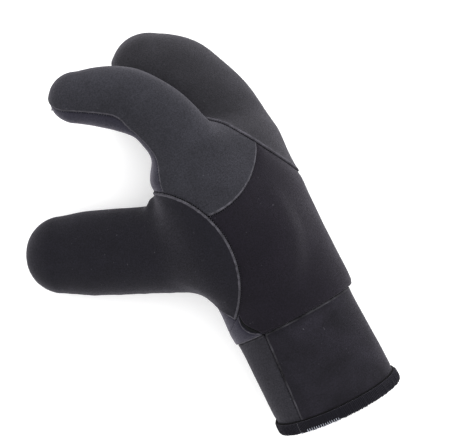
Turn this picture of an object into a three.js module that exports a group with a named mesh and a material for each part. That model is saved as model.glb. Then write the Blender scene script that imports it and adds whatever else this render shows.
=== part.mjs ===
// A right-hand lobster claw mitt of thick foam neoprene, lying on its little-finger edge.
// A thumb, a separate first finger and one pouch for the other three fingers grow out of a
// hollow hand, and a short cuff is sewn to the wrist.
//
// Frame: +Z is up from the surface that the mitt lies on, +Y runs from the cuff to the
// fingertips, and -X is the palm side that the fingers and thumb curl towards. The origin
// is the middle of the footprint, on the surface.
//
// The outer skin is a smooth union of tubes. It is meshed once, divided along the seams,
// and each division is thickened inwards into a panel of its own.

import * as THREE from "three";

// Driving dimensions in millimetres.

const wall = 5; // foam neoprene with a knitted face on both sides
const seamGap = 0.3; // between the edges of two panels that are sewn together
const seamDip = 0.8; // how far a panel's outer edge sinks into its seam

const cuffLength = 68.5;
const cuffWidth = 88;
const cuffHeight = 64;

const handLength = 146; // wrist seam to the fork between first finger and pouch
const handWidth = 95;
const handHeight = 97;
const wristStep = 2; // how far the hand stands proud of the cuff at the wrist seam

const fingerLength = 112; // first finger, along its curve from the fork
const fingerWidth = 42;
const fingerHeight = 38;

const pouchLength = 104;
const pouchWidth = 58;
const pouchHeight = 58;

const thumbLength = 160; // from inside the palm to the tip
const thumbWidth = 54;
const thumbHeight = 43;

const mouthSlope = 0.06; // the cuff's mouth is cut askew: longer on the back of the hand,
const mouthDroop = 0.1; // and on the thumb's side
const bindingDepth = 6; // of the overlocked edge round the cuff's mouth
const bindingThickness = 1.2;

const restSink = 1.2; // how deep the soft underside is pressed flat by its own weight

const thumbArcRadius = 64; // seam round the thumb's base
const fingerArcRadius = 48; // seam round the first finger's base

const palmTurn = 38; // degrees that the palm faces below the horizon, from the knuckles on
const wristTurn = 31; // and at the wrist

const seamDrop = 9; // how much nearer the palm the seam lies on the thumb's side of the hand
const thumbSeamRise = 16; // how far the thumb's seam on the wrist's side rises towards its base
const thumbSeamFade = 30; // over this length from the seam round the thumb's base
const thumbSeamSink = 6; // how far the thumb's other side seam lies below its middle

const webRadius = 15; // fillet where a digit leaves the hand
const thumbTopRadius = 23; // and over the top of the thumb's root
const webFill = 3; // radius of the fullness in the fork's corner
const webFillRadius = 7; // fillet round it
const forkRadius = 7; // fillet in the fork between first finger and pouch
const seamReach = 5; // how sharply one tube's side seam gives way to the next one's
const meshStep = 7.45;

// Tables. A row is one section of a tube, seen from above: its place as shares of a
// length, its width and height as shares of the tube's own, and how far it leans.

function table(columns, rows) {
  const names = columns.split(" ");
  return rows.map((row) =>
    Object.fromEntries(names.map((name, i) => [name, row[i]])),
  );
}

// along: share of cuffLength from the wrist seam to the mouth.
const cuffRows = table("along width height lean", [
  [0.0, 0.975, 0.99, 0.2],
  [0.12, 0.975, 0.985, 0.2],
  [0.5, 0.985, 0.99, 0.17],
  [1.0, 1.0, 1.0, 0.14],
]);

// along: share of handLength from the wrist seam; across: share of handWidth. The spreads
// go from 0 at the wrist's size to 1 at the hand's own; below 0 the edge is drawn in.
const handRows = table("along across widthSpread heightSpread lean", [
  [-0.14, 0.003, -0.8, -0.1, 0.22], // runs on past the seam, so that it is cut square
  [0.0, 0.008, -0.6, -0.03, 0.22],
  [0.05, 0.012, -0.33, 0.04, 0.24],
  [0.2, 0.017, -0.42, 0.26, 0.3],
  [0.38, 0.012, 0.08, 0.55, 0.38],
  [0.52, 0.003, 0.75, 0.78, 0.43],
  [0.66, 0.005, 0.4, 0.9, 0.46],
  [0.8, 0.01, 0.0, 0.88, 0.48],
]);

// forward and left: shares of fingerLength, from the middle of the fork's root.
// rise: share of handHeight.
const fingerRows = table("forward left rise width height lean", [
  [-0.5, 0.0, 0.74, 0.95, 0.9, 0.2],
  [-0.25, -0.02, 0.78, 0.95, 0.96, 0.15],
  [-0.05, -0.02, 0.8, 1.02, 1.02, 0.1],
  [0.1, 0.008, 0.81, 1.02, 1.02, 0.05],
  [0.232, 0.058, 0.81, 0.98, 1.0, 0.05],
  [0.365, 0.165, 0.8, 1.01, 0.98, 0.05],
  [0.448, 0.288, 0.785, 0.94, 0.95, 0.05],
  [0.512, 0.415, 0.765, 0.81, 0.86, 0.05],
]);

// forward and left: shares of pouchLength, from the same root.
const pouchRows = table("forward left width height lean", [
  [-0.55, -0.31, 0.76, 0.85, 0.42],
  [-0.3, -0.325, 0.88, 0.92, 0.42],
  [-0.127, -0.34, 0.975, 0.98, 0.42],
  [0.029, -0.325, 1.005, 1.0, 0.42],
  [0.192, -0.291, 1.0, 1.0, 0.42],
  [0.317, -0.249, 0.98, 0.99, 0.4],
  [0.453, -0.1875, 0.95, 0.96, 0.37],
  [0.549, -0.099, 0.88, 0.9, 0.33],
  [0.594, -0.05, 0.82, 0.85, 0.3],
]);

// out: share of thumbLength along the thumb; side: share of thumbWidth towards the
// fingers; rise: share of handHeight.
const thumbRows = table("out side rise width height lean", [
  [0.0, 0.0, 0.5, 0.9, 1.25, 0.0],
  [0.22, 0.0, 0.46, 1.05, 1.3, 0.0],
  [0.42, 0.0, 0.38, 1.04, 1.2, 0.0],
  [0.6, 0.0, 0.3, 1.03, 1.08, 0.0],
  [0.75, 0.0, 0.235, 1.0, 1.0, 0.0],
  [0.85, 0.0, 0.2, 0.93, 0.9, 0.0],
]);

// along: share of handLength; drop: share of seamDrop.
const dropRows = table("along drop", [
  [0.0, 0.0],
  [0.1, 0.85],
  [0.74, 1.15],
  [0.87, 0.78],
  [1.04, 0.93],
  [1.18, 0.0],
]);

// Places that tie the digits to the hand.

const bindingGap = seamGap;
const bindingProud = bindingGap + bindingThickness;
const wristWidth = cuffRows[0].width * cuffWidth + 2 * wristStep;
const wristHeight = cuffRows[0].height * cuffHeight + 2 * wristStep;
const root = new THREE.Vector2(-0.16 * handWidth, 0.94 * handLength);
const thumbRoot = new THREE.Vector2(0.01 * handWidth, 0.375 * handLength);
const web = new THREE.Vector3(-0.52 * handWidth, 0.757 * handLength, 0.515 * handHeight);
const thumbHeading = THREE.MathUtils.degToRad(156.2); // seen from above, from +X
const thumbCap = 0.45 * thumbWidth;
const fingerCap = 0.43 * fingerWidth;
const pouchCap = 0.43 * pouchWidth;
const handCap = 0.17 * handLength;

// Tubes.

const samplesPerRow = 6;

function makeTube(rows, cap) {
  const centre = new THREE.CatmullRomCurve3(rows.map((r) => r.centre));
  const sizes = new THREE.CatmullRomCurve3(
    rows.map((r) => new THREE.Vector3(r.halfWidth, r.halfHeight, r.lean)),
    false,
    "catmullrom",
    0.5,
  );
  const count = (rows.length - 1) * samplesPerRow;
  const samples = [];
  for (let i = 0; i <= count; i++) {
    const t = i / count;
    const tangent = centre.getTangent(t);
    const side = new THREE.Vector3(tangent.y, -tangent.x, 0).normalize();
    const up = new THREE.Vector3().crossVectors(side, tangent);
    samples.push({ at: centre.getPoint(t), tangent, side, up, size: sizes.getPoint(t) });
  }
  return { samples, cap };
}

// Where a point lies in a tube: a to the side, b up and c past either end, with the
// section's sizes there.
function placeIn(tube, p) {
  const { samples } = tube;
  let nearest = Infinity;
  let found = null;
  const step = new THREE.Vector3();
  const off = new THREE.Vector3();
  for (let i = 0; i + 1 < samples.length; i++) {
    step.subVectors(samples[i + 1].at, samples[i].at);
    off.subVectors(p, samples[i].at);
    const share = THREE.MathUtils.clamp(off.dot(step) / step.lengthSq(), 0, 1);
    const far = off.addScaledVector(step, -share).lengthSq();
    if (far < nearest) {
      nearest = far;
      found = [i, share];
    }
  }
  const [i, share] = found;
  const from = samples[i];
  const to = samples[i + 1];
  const mix = (name) => from[name].clone().lerp(to[name], share);
  off.subVectors(p, mix("at"));
  const size = mix("size");
  return {
    a: off.dot(mix("side").normalize()),
    b: off.dot(mix("up").normalize()),
    c: off.dot(mix("tangent").normalize()),
    halfWidth: size.x,
    halfHeight: size.y,
    lean: size.z,
  };
}

// About how far a point is outside the tube: the distance along the ray from its centre.
function tubeDistance(tube, at) {
  const x = at.a / at.halfWidth;
  const z = at.b / at.halfHeight;
  const y = at.c / tube.cap;
  const { lean } = at;
  const squared = (x * x + 2 * lean * x * z + z * z) / (1 - lean * lean) + y * y;
  if (squared < 1e-6) return -Math.min(at.halfWidth, at.halfHeight);
  return Math.hypot(at.a, at.b, at.c) * (1 - 1 / Math.sqrt(squared));
}

const atRest = (height) => height / 2 - restSink;

const handTube = makeTube(
  handRows.map((r) => {
    const width = THREE.MathUtils.lerp(wristWidth, handWidth, r.widthSpread);
    const height = THREE.MathUtils.lerp(wristHeight, handHeight, r.heightSpread);
    return {
      centre: new THREE.Vector3(r.across * handWidth, r.along * handLength, atRest(height)),
      halfWidth: width / 2,
      halfHeight: height / 2,
      lean: r.lean,
    };
  }),
  handCap,
);

const fingerTube = makeTube(
  fingerRows.map((r) => ({
    centre: new THREE.Vector3(
      root.x - r.left * fingerLength,
      root.y + r.forward * fingerLength,
      r.rise * handHeight,
    ),
    halfWidth: (r.width * fingerWidth) / 2,
    halfHeight: (r.height * fingerHeight) / 2,
    lean: r.lean,
  })),
  fingerCap,
);

const pouchTube = makeTube(
  pouchRows.map((r) => {
    const height = r.height * pouchHeight;
    return {
      centre: new THREE.Vector3(
        root.x - r.left * pouchLength,
        root.y + r.forward * pouchLength,
        atRest(height),
      ),
      halfWidth: (r.width * pouchWidth) / 2,
      halfHeight: height / 2,
      lean: r.lean,
    };
  }),
  pouchCap,
);

const thumbOut = new THREE.Vector2(Math.cos(thumbHeading), Math.sin(thumbHeading));
const thumbSide = new THREE.Vector2(thumbOut.y, -thumbOut.x);
const thumbTube = makeTube(
  thumbRows.map((r) => {
    const plan = thumbRoot
      .clone()
      .addScaledVector(thumbOut, r.out * thumbLength)
      .addScaledVector(thumbSide, r.side * thumbWidth);
    return {
      centre: new THREE.Vector3(plan.x, plan.y, r.rise * handHeight),
      halfWidth: (r.width * thumbWidth) / 2,
      halfHeight: (r.height * thumbHeight) / 2,
      lean: r.lean,
    };
  }),
  thumbCap,
);

// The smaller of two distances, rounded off where they meet.
function blend(a, b, radius) {
  const h = Math.max(radius - Math.abs(a - b), 0) / radius;
  return Math.min(a, b) - (h * h * radius) / 4;
}

function survey(p) {
  const places = [handTube, fingerTube, pouchTube, thumbTube].map((tube) => ({
    tube,
    at: placeIn(tube, p),
  }));
  const [hand, finger, pouch, thumb] = places.map(({ tube, at }) => tubeDistance(tube, at));
  return { places, hand, finger, pouch, thumb };
}

// Negative inside the skin. The underside is pressed flat at the surface it lies on.
function skin(p) {
  const { places, hand, finger, pouch, thumb } = survey(p);
  const { b, halfHeight } = places[3].at;
  const top = THREE.MathUtils.smoothstep(b / halfHeight, 0.3, 0.9);
  const radius = THREE.MathUtils.lerp(webRadius, thumbTopRadius, top);
  const withThumb = blend(blend(hand, thumb, radius), p.distanceTo(web) - webFill, webFillRadius);
  const digits = blend(
    blend(withThumb, finger, webRadius),
    blend(withThumb, pouch, webRadius),
    forkRadius,
  );
  return Math.max(digits, -p.z);
}

// Seams, as functions that are positive inside the panel they bound.

// Which way the back of the mitt faces, at a share of the way from the wrist seam.
function dorsalAt(share) {
  const turn = THREE.MathUtils.degToRad(
    THREE.MathUtils.lerp(wristTurn, palmTurn, THREE.MathUtils.clamp(share, 0, 1)),
  );
  return { side: Math.cos(turn), up: Math.sin(turn) };
}

// How much nearer the palm the seam lies at a place, on the upper half of the hand alone.
function dropAt(y, upward) {
  const along = THREE.MathUtils.clamp(y / handLength, 0, dropRows.at(-1).along - 1e-6);
  const i = dropRows.findLastIndex((r) => r.along <= along);
  const [from, to] = [dropRows[i], dropRows[i + 1]];
  const share = THREE.MathUtils.smoothstep(along, from.along, to.along);
  const upper = THREE.MathUtils.smoothstep(upward, -0.3, 0.3);
  return seamDrop * upper * THREE.MathUtils.lerp(from.drop, to.drop, share);
}

// Positive within a radius of the ray that starts at a centre and heads one way.
function insideArc(p, centre, heading, radius) {
  const x = p.x - centre.x;
  const y = p.y - centre.y;
  const along = Math.max(0, x * heading.x + y * heading.y);
  return radius - Math.hypot(x - along * heading.x, y - along * heading.y);
}

const thumbArcCentre = new THREE.Vector2(-0.85 * handWidth, 0.432 * handLength);
const fingerArcCentre = new THREE.Vector2(-0.154 * handWidth, 0.911 * handLength);
const fingerHeading = new THREE.Vector2(-0.6, 0.8);
const insideThumbArc = (p) => insideArc(p, thumbArcCentre, thumbOut, thumbArcRadius);
const insideFingerArc = (p) => insideArc(p, fingerArcCentre, fingerHeading, fingerArcRadius);

// Positive on the palm's side of the seam that runs round the whole mitt. It follows the
// sides of the hand, the finger and the pouch.
function palmSide(p) {
  const { places, hand, finger, pouch } = survey(p);
  const dorsal = dorsalAt(p.y / handLength);
  const nearest = Math.min(hand, finger, pouch);
  let sum = 0;
  let total = 0;
  [hand, finger, pouch].forEach((distance, i) => {
    const { a, b, halfWidth, halfHeight } = places[i].at;
    const weight = Math.exp(-(distance - nearest) / seamReach);
    const across = (dorsal.side * a) / halfWidth + (dorsal.up * b) / halfHeight;
    sum -= weight * (across * Math.min(halfWidth, halfHeight) + dropAt(p.y, b / halfHeight));
    total += weight;
  });
  return sum / total;
}

// The same on the thumb, whose seams lie along its own sides.
function thumbPalmSide(p) {
  const { a, b, halfWidth } = placeIn(thumbTube, p);
  const fade = THREE.MathUtils.smoothstep(insideThumbArc(p), 0, thumbSeamFade);
  const towardsWrist = THREE.MathUtils.smoothstep(-a / halfWidth, -0.3, 0.3);
  return THREE.MathUtils.lerp(-thumbSeamSink, thumbSeamRise * (1 - fade), towardsWrist) - b;
}

// Positive on the fingertips' side of the seam across the back of the hand, which starts
// in the fork.
const fork = new THREE.Vector2(0.126 * handWidth, 0.983 * handLength);
const knuckleSlope = 1.56;
const beyondKnuckles = (p) => p.y - fork.y + knuckleSlope * (p.x - fork.x);

// Positive on the pouch's side: that seam, and past the fork the middle between the two.
function pouchSide(p) {
  const { finger, pouch } = survey(p);
  const share = THREE.MathUtils.smoothstep(p.y, 0.9 * handLength, 1.05 * handLength);
  return THREE.MathUtils.lerp(beyondKnuckles(p), finger - pouch, share);
}

// Panels in order: a point belongs to the first whose functions are all positive there.
const cutAway = "cut_away";
const regions = [
  { name: cutAway, within: [(p) => -p.y] },
  { name: "thumb_palm", within: [insideThumbArc, thumbPalmSide] },
  { name: "thumb_panel", within: [insideThumbArc] },
  { name: "palm_panel", within: [palmSide] },
  { name: "pouch_panel", within: [pouchSide] },
  { name: "finger_panel", within: [insideFingerArc] },
  { name: "back_panel", within: [] },
];
const regionAt = (p) => regions.findIndex(({ within }) => within.every((f) => f(p) > 0));

// The functions that are zero where these panels meet: one fewer than the panels.
function seamsBetween(found) {
  const ordered = [...found].sort((x, y) => x - y);
  const seams = ordered.flatMap((n, i) =>
    regions[n].within.filter((f) =>
      ordered.slice(i + 1).some((later) => !regions[later].within.includes(f)),
    ),
  );
  return [...new Set(seams)].slice(0, Math.min(2, ordered.length - 1));
}

// Meshing: one vertex in each grid cell that the skin passes through, one quad across each
// grid edge that it crosses.

function slopeOf(f, p) {
  const h = 0.05;
  const q = p.clone();
  const along = (axis) => {
    q[axis] = p[axis] + h;
    const more = f(q);
    q[axis] = p[axis] - h;
    const less = f(q);
    q[axis] = p[axis];
    return (more - less) / (2 * h);
  };
  return new THREE.Vector3(along("x"), along("y"), along("z"));
}

function settle(p, constraints, rounds) {
  for (let round = 0; round < rounds; round++)
    for (const f of constraints) {
      const slope = slopeOf(f, p);
      p.addScaledVector(slope, -f(p) / Math.max(slope.lengthSq(), 1e-4));
    }
}

function boxOfTubes(tubes, margin) {
  const box = new THREE.Box3();
  for (const { samples, cap } of tubes)
    for (const { at, size } of samples)
      box.union(
        new THREE.Box3().setFromCenterAndSize(
          at,
          new THREE.Vector3(1, 1, 1).multiplyScalar(2 * Math.max(size.x, size.y, cap)),
        ),
      );
  box.min.y = 0;
  return box.expandByScalar(margin);
}

function netOfSkin() {
  const box = boxOfTubes([handTube, fingerTube, pouchTube, thumbTube], 2 * meshStep);
  box.min.z = -1.5 * meshStep;
  const counts = box
    .getSize(new THREE.Vector3())
    .divideScalar(meshStep)
    .toArray()
    .map((n) => Math.ceil(n) + 2);
  const strides = [1, counts[0], counts[0] * counts[1]];
  const gridPoint = (i, j, k) =>
    new THREE.Vector3(i, j, k).multiplyScalar(meshStep).add(box.min);
  const values = new Float64Array(counts[0] * counts[1] * counts[2]);
  for (let k = 0; k < counts[2]; k++)
    for (let j = 0; j < counts[1]; j++)
      for (let i = 0; i < counts[0]; i++)
        values[i + j * strides[1] + k * strides[2]] = skin(gridPoint(i, j, k));
  closePinches(values, counts, strides);

  const cornersOf = [0, 1, 2, 3, 4, 5, 6, 7].map((n) => [n & 1, (n >> 1) & 1, n >> 2]);
  const edgesOf = [];
  for (let a = 0; a < 8; a++)
    for (const bit of [1, 2, 4]) if (!(a & bit)) edgesOf.push([a, a | bit]);
  const cellVertex = new Map();
  const points = [];
  for (let k = 0; k + 1 < counts[2]; k++)
    for (let j = 0; j + 1 < counts[1]; j++)
      for (let i = 0; i + 1 < counts[0]; i++) {
        const at = i + j * strides[1] + k * strides[2];
        const value = cornersOf.map(
          ([x, y, z]) => values[at + x * strides[0] + y * strides[1] + z * strides[2]],
        );
        const crossings = edgesOf.filter(([a, b]) => value[a] < 0 !== value[b] < 0);
        if (!crossings.length) continue;
        const sum = new THREE.Vector3();
        for (const [a, b] of crossings) {
          const share = value[a] / (value[a] - value[b]);
          const from = new THREE.Vector3(...cornersOf[a]);
          sum.add(from.lerp(new THREE.Vector3(...cornersOf[b]), share));
        }
        sum.divideScalar(crossings.length).multiplyScalar(meshStep);
        cellVertex.set(at, points.length);
        points.push(sum.add(gridPoint(i, j, k)));
      }

  const quads = [];
  for (let axis = 0; axis < 3; axis++) {
    const across = strides[(axis + 1) % 3];
    const over = strides[(axis + 2) % 3];
    for (let k = 1; k + 1 < counts[2]; k++)
      for (let j = 1; j + 1 < counts[1]; j++)
        for (let i = 1; i + 1 < counts[0]; i++) {
          const at = i + j * strides[1] + k * strides[2];
          const here = values[at];
          const next = values[at + strides[axis]];
          if (here < 0 === next < 0) continue;
          const ring = [at - across - over, at - over, at, at - across];
          const corners = ring.map((cell) => cellVertex.get(cell));
          if (here >= 0) corners.reverse();
          const cross = gridPoint(i, j, k);
          cross.setComponent(
            axis,
            cross.getComponent(axis) + (meshStep * here) / (here - next),
          );
          quads.push({ corners, region: regionAt(cross) });
        }
  }
  return { points, quads };
}

// Fills grid points until no two inside points touch only across a diagonal, so that the
// net has no edge shared by four quads.
function closePinches(values, counts, strides) {
  for (let changed = true; changed; ) {
    changed = false;
    for (let axis = 0; axis < 3; axis++) {
      const across = strides[(axis + 1) % 3];
      const over = strides[(axis + 2) % 3];
      for (let at = 0; at + across + over < values.length; at++) {
        const face = [at, at + across, at + across + over, at + over];
        const inside = face.map((n) => values[n] < 0);
        if (inside[0] !== inside[2] || inside[1] !== inside[3] || inside[0] === inside[1])
          continue;
        const outside = face.filter((n, corner) => !inside[corner]);
        const nearest = values[outside[0]] < values[outside[1]] ? outside[0] : outside[1];
        values[nearest] = -0.1;
        changed = true;
      }
    }
  }
}

const edgeKey = (a, b) => (a < b ? a + "," + b : b + "," + a);

function edgesOfQuads(quads) {
  const edges = new Map();
  quads.forEach((quad, n) =>
    quad.corners.forEach((a, i) => {
      const b = quad.corners[(i + 1) % 4];
      const key = edgeKey(a, b);
      if (!edges.has(key)) edges.set(key, { a, b, quads: [] });
      edges.get(key).quads.push(n);
    }),
  );
  return edges;
}

// Gives each stray patch of a panel to the neighbour that it shares most edges with.
function joinStrays(quads) {
  const edges = edgesOfQuads(quads);
  const neighbours = quads.map(() => []);
  for (const { quads: pair } of edges.values())
    if (pair.length === 2) {
      neighbours[pair[0]].push(pair[1]);
      neighbours[pair[1]].push(pair[0]);
    }
  const patches = [];
  const seen = new Set();
  quads.forEach((quad, start) => {
    if (seen.has(start)) return;
    const patch = [start];
    seen.add(start);
    for (const n of patch)
      for (const next of neighbours[n])
        if (!seen.has(next) && quads[next].region === quad.region) {
          seen.add(next);
          patch.push(next);
        }
    patches.push(patch);
  });
  const largest = new Map();
  for (const patch of patches) {
    const { region } = quads[patch[0]];
    if (patch.length > (largest.get(region)?.length ?? 0)) largest.set(region, patch);
  }
  for (const patch of patches) {
    const { region } = quads[patch[0]];
    if (largest.get(region) === patch) continue;
    const votes = new Map();
    for (const n of patch)
      for (const next of neighbours[n])
        if (quads[next].region !== region)
          votes.set(quads[next].region, (votes.get(quads[next].region) ?? 0) + 1);
    const [winner] = [...votes].sort((x, y) => y[1] - x[1])[0];
    for (const n of patch) quads[n].region = winner;
  }
}

// A panel may not touch itself at a lone corner: the odd quad goes to the other panel.
function openCorners(points, quads) {
  for (let pass = 0; pass < 4; pass++) {
    const around = points.map(() => []);
    quads.forEach((quad, n) => quad.corners.forEach((v) => around[v].push(n)));
    let changed = false;
    around.forEach((ring, v) => {
      const byRegion = new Map();
      for (const n of ring) {
        const { region } = quads[n];
        if (!byRegion.has(region)) byRegion.set(region, []);
        byRegion.get(region).push(n);
      }
      for (const [region, members] of byRegion) {
        if (members.length < 2) continue;
        const ends = members.flatMap((n) => {
          const i = quads[n].corners.indexOf(v);
          return [quads[n].corners[(i + 1) % 4], quads[n].corners[(i + 3) % 4]];
        });
        const loose = members.filter((n, m) => {
          const mine = [ends[2 * m], ends[2 * m + 1]];
          return mine.every((end) => ends.filter((other) => other === end).length === 1);
        });
        if (!loose.length || members.length === ring.length) continue;
        const other = ring.find((n) => quads[n].region !== region);
        quads[loose[0]].region = quads[other].region;
        changed = true;
        return;
      }
    });
    if (!changed) return;
  }
}

// Moves each vertex onto the skin, and onto the seams that it bounds, and evens them out.
function relax(net) {
  const { points, quads } = net;
  const regionsAt = points.map(() => new Set());
  for (const { corners, region } of quads) for (const v of corners) regionsAt[v].add(region);
  const holds = regionsAt.map((found) => [skin, ...seamsBetween(found)]);
  const edges = [...edgesOfQuads(quads).values()];
  const isSeam = ({ quads: pair }) =>
    pair.length < 2 || quads[pair[0]].region !== quads[pair[1]].region;
  const linked = points.map(() => []);
  for (const edge of edges) {
    const seam = isSeam(edge);
    for (const [v, w] of [
      [edge.a, edge.b],
      [edge.b, edge.a],
    ])
      if (seam || holds[v].length === 1) linked[v].push(w);
  }
  for (let round = 0; round < 6; round++) {
    const moved = points.map((p, v) => {
      if (holds[v].length > 2 || !linked[v].length) return p.clone();
      const middle = new THREE.Vector3();
      for (const w of linked[v]) middle.add(points[w]);
      return middle.divideScalar(linked[v].length).lerp(p, 0.4);
    });
    moved.forEach((p, v) => {
      settle(p, holds[v], holds[v].length === 1 ? 2 : 5);
      points[v] = p;
    });
  }
  net.normals = points.map((p) => slopeOf(skin, p).normalize());
}

// The cuff is a plain ring of quads, divided at the two side seams.

function cuffSection(share) {
  const last = cuffRows.length - 1;
  const i = Math.min(last - 1, cuffRows.findLastIndex((r) => r.along <= share));
  const part = (share - cuffRows[i].along) / (cuffRows[i + 1].along - cuffRows[i].along);
  const mix = (name) => THREE.MathUtils.lerp(cuffRows[i][name], cuffRows[i + 1][name], part);
  return {
    halfWidth: (mix("width") * cuffWidth) / 2,
    halfHeight: (mix("height") * cuffHeight) / 2,
    lean: mix("lean"),
  };
}

// A point and its outward normal at an angle round a leaning ellipse.
function roundEllipse({ halfWidth, halfHeight, lean }, angle) {
  const upright = Math.sqrt(1 - lean * lean);
  const x = halfWidth * Math.cos(angle);
  const z = halfHeight * (upright * Math.sin(angle) - lean * Math.cos(angle));
  const dx = -halfWidth * Math.sin(angle);
  const dz = halfHeight * (upright * Math.cos(angle) + lean * Math.sin(angle));
  return { x, z, normal: new THREE.Vector3(dz, 0, -dx).normalize() };
}

// The angle of the thumb-side seam round the cuff, at a share of its length. The
// little-finger side's seam is half a turn on.
function seamAngle(share) {
  const dorsal = dorsalAt(share);
  const { lean } = cuffSection(share);
  const upright = Math.sqrt(1 - lean * lean);
  return Math.PI - Math.atan2(dorsal.side - dorsal.up * lean, dorsal.up * upright);
}

const mouthAt = (x, z) => -cuffLength - mouthSlope * x - mouthDroop * z;
const cuffCentreHeight = cuffHeight / 2 + bindingProud - restSink;
const cuffHalfTurn = 18; // quads round each half of the cuff

function netOfCuff() {
  const stations = 5;
  const points = [];
  const normals = [];
  const quads = [];
  for (let s = 0; s <= stations; s++) {
    const section = cuffSection(s / stations);
    const start = seamAngle(s / stations);
    for (let n = 0; n < 2 * cuffHalfTurn; n++) {
      const { x, z, normal } = roundEllipse(section, start + (Math.PI * n) / cuffHalfTurn);
      points.push(new THREE.Vector3(x, (mouthAt(x, z) * s) / stations, z + cuffCentreHeight));
      normals.push(normal);
    }
  }
  const ring = 2 * cuffHalfTurn;
  for (let s = 0; s < stations; s++)
    for (let n = 0; n < ring; n++) {
      const next = (n + 1) % ring;
      const corners = [s * ring + n, s * ring + next, (s + 1) * ring + next, (s + 1) * ring + n];
      quads.push({ corners, region: n < cuffHalfTurn ? "cuff_palm" : "cuff_back" });
    }
  return { points, normals, quads };
}

// Thickening: a panel's quads, their copies one wall further in, and a strip round the edge.

function panelGeometry(net, region) {
  const { points, normals, quads } = net;
  const mine = quads.filter((quad) => quad.region === region);
  const rim = new Map(); // vertex to the directions that lead into the panel from its edges
  const rimEdges = [...edgesOfQuads(mine).values()].filter((edge) => edge.quads.length === 1);
  for (const { a, b } of rimEdges)
    for (const v of [a, b]) {
      const into = new THREE.Vector3()
        .subVectors(points[b], points[a])
        .cross(normals[v])
        .negate()
        .normalize();
      rim.set(v, [...(rim.get(v) ?? []), into]);
    }
  const outer = new Map();
  const inner = new Map();
  for (const { corners } of mine)
    for (const v of corners) {
      if (outer.has(v)) continue;
      const out = points[v].clone();
      const depth = rim.has(v) ? seamDip : 0;
      const shift = new THREE.Vector3();
      if (rim.has(v)) {
        const [first, second] = rim.get(v);
        const reach = Math.max(1 + first.dot(second), 0.3);
        shift.addVectors(first, second).multiplyScalar(seamGap / 2 / reach);
      }
      outer.set(v, out.clone().add(shift).addScaledVector(normals[v], -depth));
      inner.set(v, out.clone().add(shift).addScaledVector(normals[v], -wall));
    }
  const triangles = [];
  for (const { corners } of mine) {
    const [a, b, c, d] = corners;
    const halves =
      points[a].distanceTo(points[c]) < points[b].distanceTo(points[d])
        ? [[a, b, c], [a, c, d]]
        : [[a, b, d], [b, c, d]];
    for (const [x, y, z] of halves) {
      triangles.push(outer.get(x), outer.get(y), outer.get(z));
      triangles.push(inner.get(x), inner.get(z), inner.get(y));
    }
  }
  for (const { a, b } of rimEdges) {
    const strip =
      a < b
        ? [outer.get(b), outer.get(a), inner.get(b), outer.get(a), inner.get(a), inner.get(b)]
        : [outer.get(b), outer.get(a), inner.get(a), outer.get(b), inner.get(a), inner.get(b)];
    triangles.push(...strip);
  }
  return new THREE.BufferGeometry().setFromPoints(triangles);
}

// The binding: a U-shaped section swept round the cuff's mouth, flat where it rests.

function bindingGeometry() {
  const section = cuffSection(1);
  const inside = -wall - bindingGap;
  const bevel = bindingThickness / 2;
  const profile = [
    [bindingGap, bindingDepth],
    [bindingGap, -bindingGap],
    [inside, -bindingGap],
    [inside, bindingDepth],
    [inside - bindingThickness, bindingDepth - bevel],
    [inside - bindingThickness, -bindingGap],
    [inside, -bindingProud],
    [bindingGap, -bindingProud],
    [bindingProud, -bindingGap],
    [bindingProud, bindingDepth - bevel],
  ];
  const ring = 2 * cuffHalfTurn;
  const start = seamAngle(1);
  const rows = [];
  for (let n = 0; n < ring; n++) {
    const { x, z, normal } = roundEllipse(section, start + (Math.PI * n) / cuffHalfTurn);
    rows.push(
      profile.map(([out, along]) => {
        const height = z + cuffCentreHeight + out * normal.z;
        const across = x + out * normal.x;
        return new THREE.Vector3(across, mouthAt(across, z) + along, Math.max(height, 0));
      }),
    );
  }
  const triangles = [];
  rows.forEach((row, n) => {
    const next = rows[(n + 1) % ring];
    row.forEach((a, i) => {
      const j = (i + 1) % profile.length;
      triangles.push(a, row[j], next[j], a, next[j], next[i]);
    });
  });
  return new THREE.BufferGeometry().setFromPoints(triangles);
}

// Materials.

const jersey = new THREE.MeshStandardMaterial({ color: 0x34343a, roughness: 0.85 });
const palmSkin = new THREE.MeshStandardMaterial({ color: 0x3c3a48, roughness: 0.55 });
const cuffJersey = new THREE.MeshStandardMaterial({ color: 0x37373b, roughness: 0.88 });
const bindingThread = new THREE.MeshStandardMaterial({ color: 0x17171b, roughness: 0.95 });

const handNet = netOfSkin();
joinStrays(handNet.quads);
openCorners(handNet.points, handNet.quads);
relax(handNet);
const wristPlane = regions.findIndex((region) => region.name === cutAway);
for (const { corners, region } of handNet.quads)
  if (region === wristPlane) for (const v of corners) handNet.normals[v].setY(0).normalize();
for (const quad of handNet.quads) quad.region = regions[quad.region].name;
const cuffNet = netOfCuff();

const mitt = new THREE.Group();
function addMesh(name, geometry, material) {
  const mesh = new THREE.Mesh(geometry, material);
  mesh.name = name;
  mitt.add(mesh);
}
for (const name of ["thumb_panel", "finger_panel", "pouch_panel", "back_panel"])
  addMesh(name, panelGeometry(handNet, name), jersey);
for (const name of ["palm_panel", "thumb_palm"])
  addMesh(name, panelGeometry(handNet, name), palmSkin);
for (const name of ["cuff_back", "cuff_palm"])
  addMesh(name, panelGeometry(cuffNet, name), cuffJersey);
addMesh("cuff_binding", bindingGeometry(), bindingThread);

// The origin goes to the middle of the footprint, on the surface.
const extent = new THREE.Box3().setFromObject(mitt, true);
const middle = extent.getCenter(new THREE.Vector3());
mitt.position.set(-middle.x, -middle.y, -extent.min.z);

export default mitt;
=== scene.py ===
"""A lobster claw mitt of foam neoprene: its panels, seams, stitches and overlocked cuff."""

import math

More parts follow.
